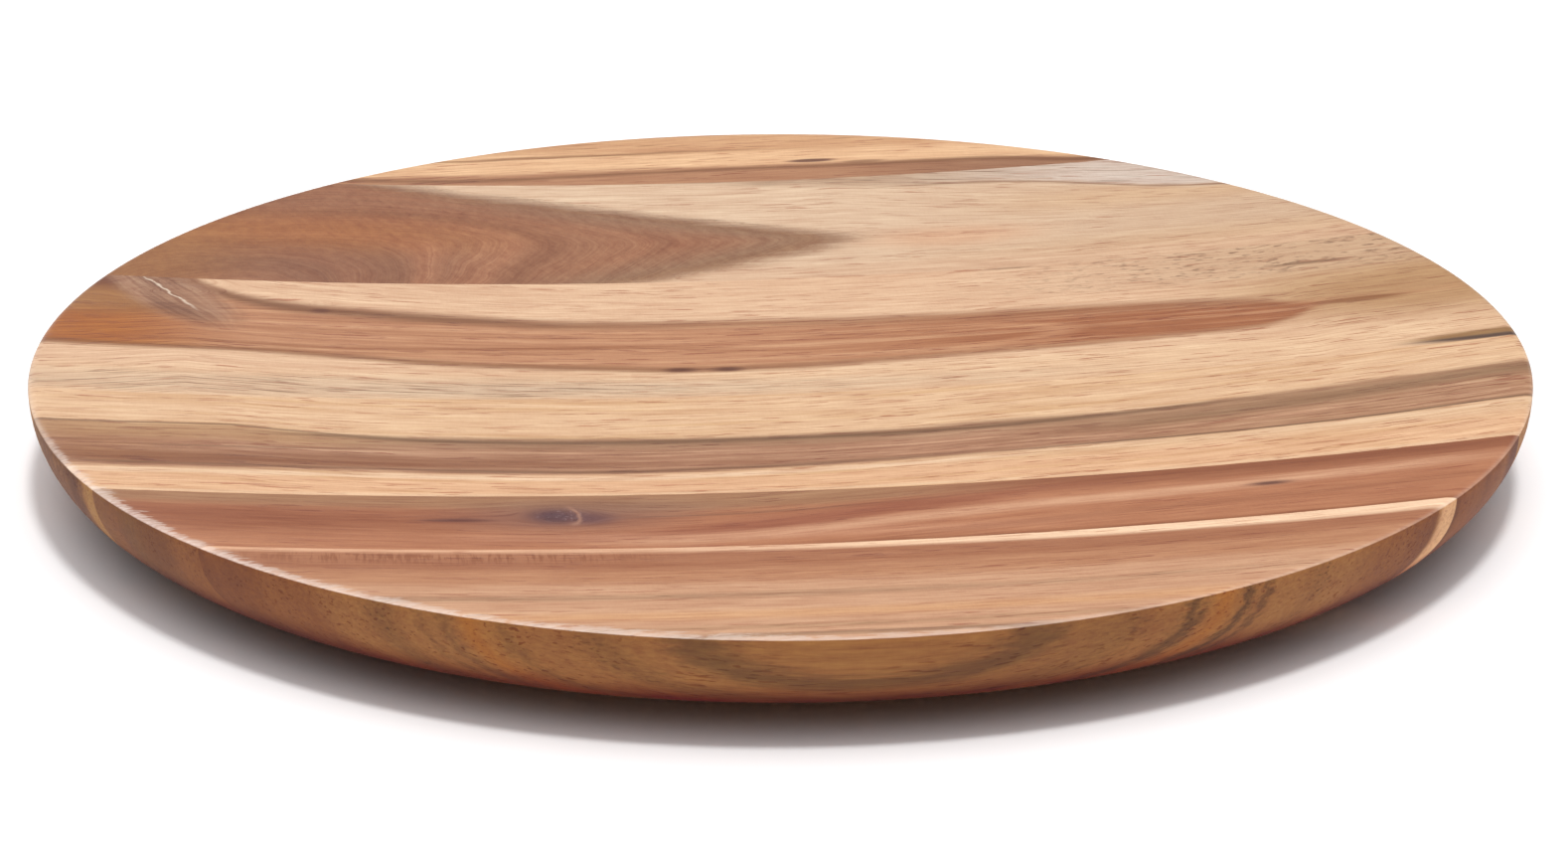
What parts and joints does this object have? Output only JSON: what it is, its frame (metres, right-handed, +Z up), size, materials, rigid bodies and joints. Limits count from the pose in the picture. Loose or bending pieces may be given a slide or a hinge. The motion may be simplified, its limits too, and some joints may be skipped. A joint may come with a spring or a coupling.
{
  "type": "lazy susan turntable",
  "caption": "Round edge-glued wooden board with a shallow dished top and a rounded undercut side, turning on a low ring ball bearing with rubber feet.",
  "frame": {"origin": "on the resting plane, under the centre of the board, on the turning axis", "axes": "+Z up along the turning axis; +X along the board's staves and grain; +Y across the staves, towards the rear stave"},
  "size_m": [0.4572, 0.4572, 0.034],
  "materials": {
    "stave_1_rear": "oiled satin",
    "stave_2": "oiled satin",
    "stave_3": "oiled satin",
    "stave_4": "oiled satin",
    "stave_5": "oiled satin",
    "stave_6_front": "oiled satin",
    "aluminium": "turned satin",
    "ball_steel": "polished",
    "zinc_steel": "zinc plated",
    "nylon": "moulded matt",
    "rubber": "matt"
  },
  "bodies": {
    "base": {"bearing_ring_outer": "aluminium", "ball_feed_plug": "zinc_steel", "foot_1": "rubber", "foot_2": "rubber", "foot_3": "rubber", "foot_4": "rubber", "foot_5": "rubber", "foot_6": "rubber"},
    "turntable": {"stave_1_rear": "stave_1_rear", "stave_2": "stave_2", "stave_3": "stave_3", "stave_4": "stave_4", "stave_5": "stave_5", "stave_6_front": "stave_6_front", "bearing_ring_inner": "aluminium", "board_screw_1": "zinc_steel", "board_screw_2": "zinc_steel", "board_screw_3": "zinc_steel", "board_screw_4": "zinc_steel", "board_screw_5": "zinc_steel", "board_screw_6": "zinc_steel"},
    "ball_set": {"ball_cage": "nylon", "ball_01": "ball_steel", "ball_02": "ball_steel", "ball_03": "ball_steel", "ball_04": "ball_steel", "ball_05": "ball_steel", "ball_06": "ball_steel", "ball_07": "ball_steel", "ball_08": "ball_steel", "ball_09": "ball_steel", "ball_10": "ball_steel", "ball_11": "ball_steel", "ball_12": "ball_steel", "ball_13": "ball_steel", "ball_14": "ball_steel", "ball_15": "ball_steel", "ball_16": "ball_steel", "ball_17": "ball_steel", "ball_18": "ball_steel", "ball_19": "ball_steel", "ball_20": "ball_steel", "ball_21": "ball_steel", "ball_22": "ball_steel", "ball_23": "ball_steel", "ball_24": "ball_steel"}
  },
  "joints": [
    {"name": "turntable_spin", "type": "hinge", "parent": "base", "child": "turntable", "pos_m": [0, 0, 0.0057], "axis": [0, 0, 1], "continuous": true},
    {"name": "ball_orbit", "type": "hinge", "parent": "base", "child": "ball_set", "pos_m": [0, 0, 0.0057], "axis": [0, 0, 1], "continuous": true}
  ],
  "couplings": [
    {"joint": "ball_orbit", "follows": "turntable_spin", "ratio": 0.5}
  ]
}
